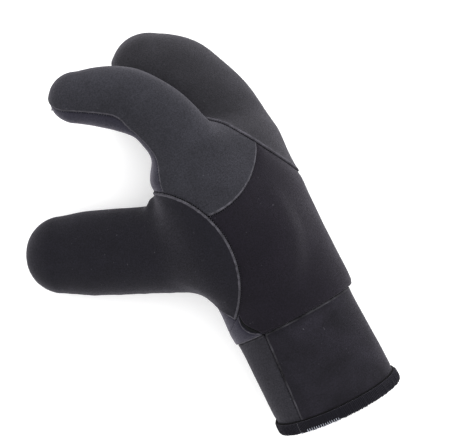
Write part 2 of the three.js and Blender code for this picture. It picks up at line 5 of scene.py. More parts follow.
import bpy
import numpy as np
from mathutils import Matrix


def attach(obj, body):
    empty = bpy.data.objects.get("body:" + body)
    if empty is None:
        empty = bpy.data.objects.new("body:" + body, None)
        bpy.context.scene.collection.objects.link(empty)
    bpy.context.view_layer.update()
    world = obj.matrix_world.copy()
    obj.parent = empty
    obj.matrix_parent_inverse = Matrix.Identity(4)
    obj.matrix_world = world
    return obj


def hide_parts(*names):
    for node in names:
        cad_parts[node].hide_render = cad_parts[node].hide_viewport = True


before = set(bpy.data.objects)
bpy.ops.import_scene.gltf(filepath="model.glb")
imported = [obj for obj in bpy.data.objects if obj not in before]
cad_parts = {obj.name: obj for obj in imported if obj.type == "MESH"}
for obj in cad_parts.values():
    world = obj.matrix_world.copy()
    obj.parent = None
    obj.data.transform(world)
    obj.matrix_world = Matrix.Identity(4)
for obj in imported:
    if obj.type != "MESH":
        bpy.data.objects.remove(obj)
scene = bpy.context.scene
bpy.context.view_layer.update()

# Sizes in millimetres. They are those of the solids, which these pieces stand for.

WALL = 5.0
SEAM_GAP = 0.3
CUFF_LENGTH = 68.5
CUFF_WIDTH = 88.0
CUFF_HEIGHT = 64.0
HAND_LENGTH = 146.0
HAND_WIDTH = 95.0
HAND_HEIGHT = 97.0
WRIST_STEP = 2.0
FINGER_LENGTH = 112.0
FINGER_WIDTH = 42.0
FINGER_HEIGHT = 38.0
POUCH_LENGTH = 104.0
POUCH_WIDTH = 58.0
POUCH_HEIGHT = 58.0
THUMB_LENGTH = 160.0
THUMB_WIDTH = 54.0
THUMB_HEIGHT = 43.0
MOUTH_SLOPE = 0.06
MOUTH_DROOP = 0.1
BINDING_THICKNESS = 1.2
REST_SINK = 1.2
THUMB_ARC_RADIUS = 64.0
FINGER_ARC_RADIUS = 48.0
PALM_TURN = 38.0
WRIST_TURN = 31.0
WEB_RADIUS = 15.0
FORK_RADIUS = 7.0
SEAM_REACH = 5.0
SEAM_DROP = 9.0
THUMB_SEAM_RISE = 16.0
THUMB_SEAM_FADE = 30.0
THUMB_SEAM_SINK = 6.0
THUMB_TOP_RADIUS = 23.0
WEB_FILL = 3.0
WEB_FILL_RADIUS = 7.0
STEP = 2.5

# The wrist seam's middle, in the frame whose origin is the middle of the footprint.
ORIGIN = np.array([49.834, -74.232, 0.0])

# One section of a tube a row, as shares of its sizes.
CUFF_ROWS = np.array([  # along, width, height, lean
    [0.0, 0.975, 0.99, 0.2],
    [0.12, 0.975, 0.985, 0.2],
    [0.5, 0.985, 0.99, 0.17],
    [1.0, 1.0, 1.0, 0.14],
])
HAND_ROWS = np.array([  # along, across, width spread, height spread, lean
    [-0.14, 0.003, -0.8, -0.1, 0.22],
    [0.0, 0.008, -0.6, -0.03, 0.22],
    [0.05, 0.012, -0.33, 0.04, 0.24],
    [0.2, 0.017, -0.42, 0.26, 0.3],
    [0.38, 0.012, 0.08, 0.55, 0.38],
    [0.52, 0.003, 0.75, 0.78, 0.43],
    [0.66, 0.005, 0.4, 0.9, 0.46],
    [0.8, 0.01, 0.0, 0.88, 0.48],
])
FINGER_ROWS = np.array([  # forward, left, rise, width, height, lean
    [-0.5, 0.0, 0.74, 0.95, 0.9, 0.2],
    [-0.25, -0.02, 0.78, 0.95, 0.96, 0.15],
    [-0.05, -0.02, 0.8, 1.02, 1.02, 0.1],
    [0.1, 0.008, 0.81, 1.02, 1.02, 0.05],
    [0.232, 0.058, 0.81, 0.98, 1.0, 0.05],
    [0.365, 0.165, 0.8, 1.01, 0.98, 0.05],
    [0.448, 0.288, 0.785, 0.94, 0.95, 0.05],
    [0.512, 0.415, 0.765, 0.81, 0.86, 0.05],
])
POUCH_ROWS = np.array([  # forward, left, width, height, lean
    [-0.55, -0.31, 0.76, 0.85, 0.42],
    [-0.3, -0.325, 0.88, 0.92, 0.42],
    [-0.127, -0.34, 0.975, 0.98, 0.42],
    [0.029, -0.325, 1.005, 1.0, 0.42],
    [0.192, -0.291, 1.0, 1.0, 0.42],
    [0.317, -0.249, 0.98, 0.99, 0.4],
    [0.453, -0.1875, 0.95, 0.96, 0.37],
    [0.549, -0.099, 0.88, 0.9, 0.33],
    [0.594, -0.05, 0.82, 0.85, 0.3],
])
THUMB_ROWS = np.array([  # out, side, rise, width, height, lean
    [0.0, 0.0, 0.5, 0.9, 1.25, 0.0],
    [0.22, 0.0, 0.46, 1.05, 1.3, 0.0],
    [0.42, 0.0, 0.38, 1.04, 1.2, 0.0],
    [0.6, 0.0, 0.3, 1.03, 1.08, 0.0],
    [0.75, 0.0, 0.235, 1.0, 1.0, 0.0],
    [0.85, 0.0, 0.2, 0.93, 0.9, 0.0],
])
# How far the palm's seam lies towards the palm, on the upper half of the hand alone.
DROP_ROWS = np.array([  # along, share of the drop
    [0.0, 0.0],
    [0.1, 0.85],
    [0.74, 1.15],
    [0.87, 0.78],
    [1.04, 0.93],
    [1.18, 0.0],
])

BINDING_PROUD = SEAM_GAP + BINDING_THICKNESS
WRIST_WIDTH = CUFF_ROWS[0, 1] * CUFF_WIDTH + 2 * WRIST_STEP
WRIST_HEIGHT = CUFF_ROWS[0, 2] * CUFF_HEIGHT + 2 * WRIST_STEP
ROOT = np.array([-0.16 * HAND_WIDTH, 0.94 * HAND_LENGTH])
THUMB_ROOT = np.array([0.01 * HAND_WIDTH, 0.375 * HAND_LENGTH])
TAUT_AT = np.array([-0.51 * HAND_WIDTH, 0.6 * HAND_LENGTH, 0.74 * HAND_HEIGHT])
TAUT_REACH = 26.0
WEB = np.array([-0.52 * HAND_WIDTH, 0.757 * HAND_LENGTH, 0.515 * HAND_HEIGHT])
THUMB_HEADING = math.radians(156.2)
THUMB_OUT = np.array([math.cos(THUMB_HEADING), math.sin(THUMB_HEADING)])
THUMB_SIDE = np.array([THUMB_OUT[1], -THUMB_OUT[0]])


def unit(vectors):
    return vectors / np.maximum(np.linalg.norm(vectors, axis=-1, keepdims=True), 1e-12)


def lerp(a, b, share):
    return a + (b - a) * share


def smoothstep(x, low, high):
    t = np.clip((x - low) / (high - low), 0.0, 1.0)
    return t * t * (3 - 2 * t)


# The skin: a smooth union of tubes.


def curve_through(points, shares, centripetal):
    last = len(points) - 1
    ends = [2 * points[0] - points[1]], [2 * points[-1] - points[-2]]
    padded = np.vstack([ends[0], points, ends[1]])
    i = np.minimum((shares * last).astype(int), last - 1)
    w = (shares * last - i)[:, None]
    p0, p1, p2, p3 = (padded[i + k] for k in range(4))
    if centripetal:
        d0, d1, d2 = (
            np.sqrt(np.linalg.norm(b - a, axis=1))[:, None]
            for a, b in ((p0, p1), (p1, p2), (p2, p3))
        )
        t1 = ((p1 - p0) / d0 - (p2 - p0) / (d0 + d1) + (p2 - p1) / d1) * d1
        t2 = ((p2 - p1) / d1 - (p3 - p1) / (d1 + d2) + (p3 - p2) / d2) * d1
    else:
        t1 = (p2 - p0) / 2
        t2 = (p3 - p1) / 2
    square = (-3 * p1 + 3 * p2 - 2 * t1 - t2) * w**2
    return p1 + t1 * w + square + (2 * p1 - 2 * p2 + t1 + t2) * w**3


class Tube:
    def __init__(self, centres, sizes, cap):
        shares = np.linspace(0, 1, (len(centres) - 1) * 6 + 1)
        self.at = curve_through(centres, shares, True)
        ahead = curve_through(centres, np.minimum(shares + 1e-4, 1), True)
        behind = curve_through(centres, np.maximum(shares - 1e-4, 0), True)
        self.tangent = unit(ahead - behind)
        self.side = unit(np.column_stack([self.tangent[:, 1], -self.tangent[:, 0], 0 * shares]))
        self.up = np.cross(self.side, self.tangent)
        self.size = curve_through(sizes, shares, False)
        self.cap = cap
        self.step = np.diff(self.at, axis=0)
        self.step_squared = (self.step**2).sum(1)

    def nearest(self, p):
        best = np.full(len(p), np.inf)
        found = np.zeros(len(p), int)
        for i, step in enumerate(self.step):
            off = p - self.at[i]
            share = np.clip(off @ step / self.step_squared[i], 0, 1)
            far = ((off - share[:, None] * step) ** 2).sum(1)
            closer = far < best
            best[closer] = far[closer]
            found[closer] = i
        return found

    def place(self, p, i):
        """Places to the side, up and past the end, half sizes, lean, and share of the length."""
        off = p - self.at[i]
        share = np.clip((off * self.step[i]).sum(1) / self.step_squared[i], 0, 1)[:, None]
        off = off - share * self.step[i]
        axes = [unit(lerp(v[i], v[i + 1], share)) for v in (self.side, self.up, self.tangent)]
        a, b, c = ((off * axis).sum(1) for axis in axes)
        half_width, half_height, lean = lerp(self.size[i], self.size[i + 1], share).T
        return a, b, c, half_width, half_height, lean, (i + share[:, 0]) / len(self.step)

    def distance(self, place):
        a, b, c, half_width, half_height, lean, _ = place
        x, z, y = a / half_width, b / half_height, c / self.cap
        squared = (x * x + 2 * lean * x * z + z * z) / (1 - lean * lean) + y * y
        far = np.sqrt(a * a + b * b + c * c) * (1 - 1 / np.sqrt(np.maximum(squared, 1e-6)))
        return np.where(squared < 1e-6, -np.minimum(half_width, half_height), far)


def at_rest(height):
    return height / 2 - REST_SINK


hand_size = lerp(WRIST_WIDTH, HAND_WIDTH, HAND_ROWS[:, 2])
hand_tall = lerp(WRIST_HEIGHT, HAND_HEIGHT, HAND_ROWS[:, 3])
HAND = Tube(
    np.column_stack(
        [HAND_ROWS[:, 1] * HAND_WIDTH, HAND_ROWS[:, 0] * HAND_LENGTH, at_rest(hand_tall)]
    ),
    np.column_stack([hand_size / 2, hand_tall / 2, HAND_ROWS[:, 4]]),
    0.17 * HAND_LENGTH,
)
FINGER = Tube(
    np.column_stack([
        ROOT[0] - FINGER_ROWS[:, 1] * FINGER_LENGTH,
        ROOT[1] + FINGER_ROWS[:, 0] * FINGER_LENGTH,
        FINGER_ROWS[:, 2] * HAND_HEIGHT,
    ]),
    FINGER_ROWS[:, 3:6] * [FINGER_WIDTH / 2, FINGER_HEIGHT / 2, 1],
    0.43 * FINGER_WIDTH,
)
POUCH = Tube(
    np.column_stack([
        ROOT[0] - POUCH_ROWS[:, 1] * POUCH_LENGTH,
        ROOT[1] + POUCH_ROWS[:, 0] * POUCH_LENGTH,
        at_rest(POUCH_ROWS[:, 3] * POUCH_HEIGHT),
    ]),
    POUCH_ROWS[:, 2:5] * [POUCH_WIDTH / 2, POUCH_HEIGHT / 2, 1],
    0.43 * POUCH_WIDTH,
)
thumb_plan = (
    THUMB_ROOT
    + THUMB_ROWS[:, :1] * THUMB_LENGTH * THUMB_OUT
    + THUMB_ROWS[:, 1:2] * THUMB_WIDTH * THUMB_SIDE
)
THUMB = Tube(
    np.column_stack([thumb_plan, THUMB_ROWS[:, 2] * HAND_HEIGHT]),
    THUMB_ROWS[:, 3:6] * [THUMB_WIDTH / 2, THUMB_HEIGHT / 2, 1],
    0.45 * THUMB_WIDTH,
)
TUBES = [HAND, FINGER, POUCH, THUMB]


def nearest(p):
    return [tube.nearest(p) for tube in TUBES]


def survey(p, near):
    places = [tube.place(p, i) for tube, i in zip(TUBES, near)]
    return places, [tube.distance(place) for tube, place in zip(TUBES, places)]


def blend(a, b, radius):
    h = np.maximum(radius - np.abs(a - b), 0) / radius
    return np.minimum(a, b) - h * h * radius / 4


def skin(p, near):
    places, (hand, finger, pouch, thumb) = survey(p, near)
    top = smoothstep(places[3][1] / places[3][4], 0.3, 0.9)
    with_thumb = blend(hand, thumb, lerp(WEB_RADIUS, THUMB_TOP_RADIUS, top))
    web = np.linalg.norm(p - WEB, axis=1) - WEB_FILL
    with_thumb = blend(with_thumb, web, WEB_FILL_RADIUS)
    digits = blend(
        blend(with_thumb, finger, WEB_RADIUS), blend(with_thumb, pouch, WEB_RADIUS), FORK_RADIUS
    )
    return np.maximum(digits, -p[:, 2])


# Seams, as functions that are positive inside the panel they bound.


def dorsal_at(share):
    turn = np.radians(lerp(WRIST_TURN, PALM_TURN, np.clip(share, 0, 1)))
    return np.cos(turn), np.sin(turn)


def inside_arc(p, centre, heading, radius):
    off = p[:, :2] - centre
    along = np.maximum(0, off @ heading)[:, None]
    return radius - np.linalg.norm(off - along * heading, axis=1)


def inside_thumb_arc(p, near):
    centre = np.array([-0.85 * HAND_WIDTH, 0.432 * HAND_LENGTH])
    return inside_arc(p, centre, THUMB_OUT, THUMB_ARC_RADIUS)


def inside_finger_arc(p, near):
    centre = np.array([-0.154 * HAND_WIDTH, 0.911 * HAND_LENGTH])
    return inside_arc(p, centre, np.array([-0.6, 0.8]), FINGER_ARC_RADIUS)


def drop_at(y, upward):
    along = np.clip(y / HAND_LENGTH, 0, DROP_ROWS[-1, 0] - 1e-6)
    i = np.searchsorted(DROP_ROWS[:, 0], along, side="right") - 1
    share = smoothstep(along, DROP_ROWS[i, 0], DROP_ROWS[i + 1, 0])
    drop = lerp(DROP_ROWS[i, 1], DROP_ROWS[i + 1, 1], share)
    return SEAM_DROP * smoothstep(upward, -0.3, 0.3) * drop


def palm_side(p, near):
    places, distances = survey(p, near)
    side, up = dorsal_at(p[:, 1] / HAND_LENGTH)
    closest = np.minimum(np.minimum(distances[0], distances[1]), distances[2])
    total = 0
    weights = 0
    for place, distance in zip(places[:3], distances[:3]):
        a, b, _, half_width, half_height, _, _ = place
        weight = np.exp(-(distance - closest) / SEAM_REACH)
        across = side * a / half_width + up * b / half_height
        turned = across * np.minimum(half_width, half_height) + drop_at(p[:, 1], b / half_height)
        total = total - weight * turned
        weights = weights + weight
    return total / weights


def thumb_palm_side(p, near):
    a, b, _, half_width, _, _, _ = THUMB.place(p, near[3])
    fade = smoothstep(inside_thumb_arc(p, near), 0, THUMB_SEAM_FADE)
    towards_wrist = smoothstep(-a / half_width, -0.3, 0.3)
    return lerp(-THUMB_SEAM_SINK, THUMB_SEAM_RISE * (1 - fade), towards_wrist) - b


def pouch_side(p, near):
    _, distances = survey(p, near)
    beyond = p[:, 1] - 0.983 * HAND_LENGTH + 1.56 * (p[:, 0] - 0.126 * HAND_WIDTH)
    share = smoothstep(p[:, 1], 0.9 * HAND_LENGTH, 1.05 * HAND_LENGTH)
    return lerp(beyond, distances[1] - distances[2], share)


def below_wrist(p, near):
    return -p[:, 1]


REGIONS = [
    ("cut_away", [below_wrist]),
    ("thumb_palm", [inside_thumb_arc, thumb_palm_side]),
    ("thumb_panel", [inside_thumb_arc]),
    ("palm_panel", [palm_side]),
    ("pouch_panel", [pouch_side]),
    ("finger_panel", [inside_finger_arc]),
    ("back_panel", []),
]
NAMES = [name for name, _ in REGIONS]


def region_at(p):
    near = nearest(p)
    region = np.full(len(p), len(REGIONS) - 1)
    for n in reversed(range(len(REGIONS) - 1)):
        inside = np.all([f(p, near) > 0 for f in REGIONS[n][1]], axis=0)
        region[inside] = n
    return region


def seams_between(found):
    seams = []
    for place, n in enumerate(found):
        for f in REGIONS[n][1]:
            if f not in seams and any(f not in REGIONS[m][1] for m in found[place + 1 :]):
                seams.append(f)
    return seams[: min(2, len(found) - 1)]


# The net: one vertex in each cell that the skin passes through.


def slope_of(f, p, near):
    h = 0.05
    slopes = []
    for axis in np.eye(3) * h:
        slopes.append((f(p + axis, near) - f(p - axis, near)) / (2 * h))
    return np.column_stack(slopes)


def settle(p, f, rounds):
    for _ in range(rounds):
        near = nearest(p)
        slope = slope_of(f, p, near)
        step = f(p, near) / np.maximum((slope**2).sum(1), 1e-4)
        p = p - slope * step[:, None]
    return p


def grid_axes():
    low = np.full(3, np.inf)
    high = -low
    for tube in TUBES:
        reach = np.maximum(tube.size[:, :2].max(1), tube.cap)[:, None]
        low = np.minimum(low, (tube.at - reach).min(0))
        high = np.maximum(high, (tube.at + reach).max(0))
    low[1] = 0
    low -= 2 * STEP
    low[2] = -1.5 * STEP
    high += 2 * STEP
    return [np.arange(a, b, STEP) for a, b in zip(low, high)]


def close_pinches(values):
    changed = True
    while changed:
        changed = False
        for across, over in ((1, 2), (2, 0), (0, 1)):
            turned = np.moveaxis(values, (across, over), (0, 1))
            views = [turned[:-1, :-1], turned[1:, :-1], turned[1:, 1:], turned[:-1, 1:]]
            inside = [v < 0 for v in views]
            odd = (inside[0] == inside[2]) & (inside[1] == inside[3]) & (inside[0] != inside[1])
            for a, b in ((0, 2), (1, 3)):
                for one, other in ((a, b), (b, a)):
                    fill = odd & ~inside[one] & (views[one] <= views[other]) & (views[one] >= 0)
                    if fill.any():
                        views[one][fill] = -0.1
                        changed = True


def net_of_skin():
    axes = grid_axes()
    counts = [len(axis) for axis in axes]
    grid = np.stack(np.meshgrid(*axes, indexing="ij"), -1).reshape(-1, 3)
    values = skin(grid, nearest(grid)).reshape(counts)
    close_pinches(values)
    corners = [(n & 1, (n >> 1) & 1, n >> 2) for n in range(8)]
    held = [
        values[x : counts[0] - 1 + x, y : counts[1] - 1 + y, z : counts[2] - 1 + z]
        for x, y, z in corners
    ]
    inside = np.sum([v < 0 for v in held], axis=0)
    cells = np.argwhere((inside > 0) & (inside < 8))
    value = np.array([v[tuple(cells.T)] for v in held])
    total = np.zeros((len(cells), 3))
    crossings = np.zeros(len(cells))
    for a in range(8):
        for bit in (1, 2, 4):
            b = a | bit
            if a & bit:
                continue
            crossed = (value[a] < 0) != (value[b] < 0)
            share = (value[a] / (value[a] - value[b] + 1e-30))[:, None]
            at = lerp(np.array(corners[a], float), np.array(corners[b], float), share)
            total[crossed] += at[crossed]
            crossings[crossed] += 1
    points = (cells + total / crossings[:, None]) * STEP + [axis[0] for axis in axes]
    vertex = np.full([n - 1 for n in counts], -1)
    vertex[tuple(cells.T)] = np.arange(len(cells))

    quads = []
    crossing_points = []
    for axis in range(3):
        e, across, over = np.eye(3, dtype=int)[[axis, (axis + 1) % 3, (axis + 2) % 3]]
        shape = np.array(counts) - 2
        at = np.argwhere(np.ones(shape, bool)) + 1
        here = values[tuple(at.T)]
        beyond = values[tuple((at + e).T)]
        crossed = (here < 0) != (beyond < 0)
        at, here, beyond = at[crossed], here[crossed], beyond[crossed]
        ring = [vertex[tuple((at - s).T)] for s in (across + over, over, 0 * over, across)]
        ring = np.array(ring).T
        ring[here >= 0] = ring[here >= 0, ::-1]
        quads.append(ring)
        share = (here / (here - beyond))[:, None]
        crossing_points.append((at + share * e) * STEP + [axis[0] for axis in axes])
    quads = np.vstack(quads)
    return points, quads, region_at(np.vstack(crossing_points))


def edges_of(quads):
    """Directed edges of the quads: from, to, and the quad."""
    start = quads.ravel()
    end = np.roll(quads, -1, axis=1).ravel()
    return start, end, np.repeat(np.arange(len(quads)), 4)


def by_edge(quads, values):
    """The value of the quad that each directed edge belongs to."""
    start, end, quad = edges_of(quads)
    return {(a, b): values[q] for a, b, q in zip(start.tolist(), end.tolist(), quad.tolist())}


def round_loop(loop):
    return zip(loop.tolist(), np.roll(loop, -1).tolist())


def neighbours_of(quads):
    owner = by_edge(quads, range(len(quads)))
    return [
        [owner[(b, a)] for a, b in zip(row, row[1:] + row[:1]) if (b, a) in owner]
        for row in quads.tolist()
    ]


def join_strays(quads, region):
    neighbours = neighbours_of(quads)
    patch_of = np.full(len(quads), -1)
    patches = []
    for start in range(len(quads)):
        if patch_of[start] >= 0:
            continue
        patch = [start]
        patch_of[start] = len(patches)
        for n in patch:
            for other in neighbours[n]:
                if patch_of[other] < 0 and region[other] == region[n]:
                    patch_of[other] = len(patches)
                    patch.append(other)
        patches.append(patch)
    largest = {}
    for patch in patches:
        r = region[patch[0]]
        if len(patch) > len(largest.get(r, [])):
            largest[r] = patch
    for patch in patches:
        r = region[patch[0]]
        if largest[r] is patch:
            continue
        votes = [region[m] for n in patch for m in neighbours[n] if region[m] != r]
        region[patch] = max(sorted(set(votes)), key=votes.count)


def open_corners(count, quads, region):
    """A panel may not touch itself at a lone corner: the odd quad goes to the other panel."""
    for _ in range(6):
        around = [[] for _ in range(count)]
        for n, row in enumerate(quads.tolist()):
            for v in row:
                around[v].append(n)
        changed = False
        for v, ring in enumerate(around):
            kinds = {region[n] for n in ring}
            if len(kinds) < 2:
                continue
            for kind in sorted(kinds):
                members = [n for n in ring if region[n] == kind]
                if len(members) < 2:
                    continue
                ends = []
                for n in members:
                    row = quads[n].tolist()
                    i = row.index(v)
                    ends.append((row[(i + 1) % 4], row[(i + 3) % 4]))
                flat = [end for pair in ends for end in pair]
                loose = [
                    n for n, pair in zip(members, ends) if all(flat.count(e) == 1 for e in pair)
                ]
                if not loose:
                    continue
                region[loose[0]] = next(region[n] for n in ring if region[n] != kind)
                changed = True
                break
        if not changed:
            return


def average(count, start, end, values):
    total = np.zeros((count, values.shape[1]))
    number = np.zeros(count)
    np.add.at(total, start, values[end])
    np.add.at(number, start, 1)
    return total / np.maximum(number, 1)[:, None]


def settle_on(points, on_seam):
    for f, on in on_seam.items():
        points[on] = settle(points[on], f, 1)


def relax(points, quads, region, rounds):
    count = len(points)
    start, end, quad = edges_of(quads)
    found = np.zeros(count, int)
    np.bitwise_or.at(found, quads.ravel(), np.repeat(1 << region, 4))
    seams_of = {
        mask: seams_between([n for n in range(len(REGIONS)) if mask >> n & 1])
        for mask in np.unique(found)
    }
    on_seam = {
        f: np.array([f in seams_of[mask] for mask in found])
        for f in dict.fromkeys(f for seams in seams_of.values() for f in seams)
    }
    held = np.array([len(seams_of[mask]) for mask in found])
    owner = by_edge(quads, region)
    own = region[quad]
    other = np.array([owner.get((b, a), -1) for a, b in zip(start.tolist(), end.tolist())])
    on_rim = own != other
    use = on_rim | (held[start] == 0)
    reverse_use = on_rim | (held[end] == 0)
    links = (
        np.concatenate([start[use], end[reverse_use]]),
        np.concatenate([end[use], start[reverse_use]]),
    )
    free = (held < 2) & np.isin(np.arange(count), links[0])
    for _ in range(rounds):
        middle = average(count, *links, points)
        points[free] = lerp(middle[free], points[free], 0.4)
        points = settle(points, skin, 1)
        settle_on(points, on_seam)
        for _ in range(2):
            points[held > 0] = settle(points[held > 0], skin, 1)
            settle_on(points, on_seam)
    return points


# Panels: the outer face, a rounded edge down into the seam, and the inner face.

# How a panel's edge goes into its seam: distance from the seam, and depth below the face.
EDGE = np.array([
    [1.6, 0.0], [1.15, 0.02], [0.75, 0.09], [0.42, 0.26],
    [0.2, 0.6], [0.12, 2.4], [0.12, 4.2], [0.6, 4.85],
])
INSET = EDGE[0, 0]
FOAM_ROW = 4  # from this row down the edge is foam
LIP = 0.35  # rise of an edge that lies over its neighbour
DIP = 0.65  # drop of an edge that lies under
FOLD = 4.4  # depth of the gusset's tuck
FOLD_RISE = 0, 7  # where the tuck deepens, from the wrist seam
FOLD_FADE = 20, 34  # where it fades out
IN_FOLD = 0.1  # share of the full depth from which an edge counts as tucked in
FLUSH_EDGE = 0.15  # share of the rounding left at a flush seam
UNEVENNESS = 0.35  # reach of the foam's slow waves
PINCH = 0.9  # how far the cuff is drawn in above its binding
PINCH_AT = 6.9  # from the cuff's mouth
PINCH_REACH = 1.1
TAUT_ROUNDS = 36

# What a face is, which is also the number of its material.
CLOTH, CUT_EDGE_AND_HIGHLIGHT, INSIDE, FOAM_EDGE_AND_TUCK_SHADE, GUSSET_EDGE = range(5)

# The panel with the higher number lies over its neighbour, and its cut edge shows as a pale line:
# partly the edge's own colour, partly a painted highlight on the seam's ridge.
RANK = {
    "cuff_palm": 1, "cuff_back": 2, "palm_panel": 3, "thumb_palm": 4, "back_panel": 5,
    "finger_panel": 6, "pouch_panel": 7, "thumb_panel": 8,
}

# Two panels of the same cloth, butted flush without an edge that shows.
FLUSH = {"thumb_palm", "palm_panel"}


# Waves through space: direction, length and start. Foam sheet is slowly uneven, and the stitches
# pull a seam unevenly.
FOAM_WAVES = [
    ((0.8, 0.5, 0.3), 47.0, 0.3), ((-0.4, 0.85, 0.35), 39.0, 1.9), ((0.2, -0.6, 0.75), 31.0, 4.1),
    ((0.9, -0.3, 0.3), 23.0, 2.2), ((0.1, 0.7, -0.7), 19.0, 5.0),
]
STITCH_WAVES = [
    ((0.7, 0.6, 0.2), 8.3, 0.9), ((-0.5, 0.8, 0.4), 11.7, 2.6), ((0.3, -0.5, 0.8), 6.1, 5.2),
]


def waves(p, rows):
    """The mean of the waves at each point, between -1 and 1."""
    total = np.zeros(len(p))
    for direction, length, start in rows:
        total += np.sin(p @ np.array(direction) * (2 * math.pi / length) + start)
    return total / len(rows)


def bell(x, middle, reach):
    return np.exp(-(((x - middle) / reach) ** 2))


def rim_loops(edges):
    following = dict(edges)
    loops = []
    while following:
        first = next(iter(following))
        loop = [first]
        v = following.pop(first)
        while v != first:
            loop.append(v)
            v = following.pop(v)
        loops.append(np.array(loop))
    return loops


def smooth_round(values, passes):
    for _ in range(passes):
        values = (np.roll(values, 1, axis=0) + 2 * values + np.roll(values, -1, axis=0)) / 4
    return values


def near_rim(points, rim_points, chunk=2000):
    """The nearest rim vertex of each point, and how far it is."""
    which = np.zeros(len(points), int)
    far = np.zeros(len(points))
    for n in range(0, len(points), chunk):
        squared = ((points[n : n + chunk, None] - rim_points[None]) ** 2).sum(2)
        which[n : n + chunk] = squared.argmin(1)
        far[n : n + chunk] = np.sqrt(squared.min(1))
    return which, far


def height_near_seam(role, fold, far, p):
    over = LIP * (1 + 0.5 * waves(p, STITCH_WAVES)) * bell(far, 1.1, 2.0)
    under = DIP * bell(far, 0, 3.6)
    sunk = FOLD * fold * bell(far, 1.4, 1.7)
    return np.where(role > 0, role * over, role * under) - sunk


def fold_at(name, other, p):
    """The gusset at the wrist tucks in beside the back of the hand, on the thumb's side."""
    if (name, other) != ("palm_panel", "back_panel") or p[2] < WRIST_HEIGHT / 3:
        return 0.0
    return float(smoothstep(p[1], *FOLD_RISE) * (1 - smoothstep(p[1], *FOLD_FADE)))


def pinch_above_binding(p):
    """The cuff is drawn in along the top of its binding."""
    above = p[:, 1] - mouth_at(p[:, 0], p[:, 2] - CUFF_CENTRE)
    return PINCH * bell(above, PINCH_AT, PINCH_REACH)


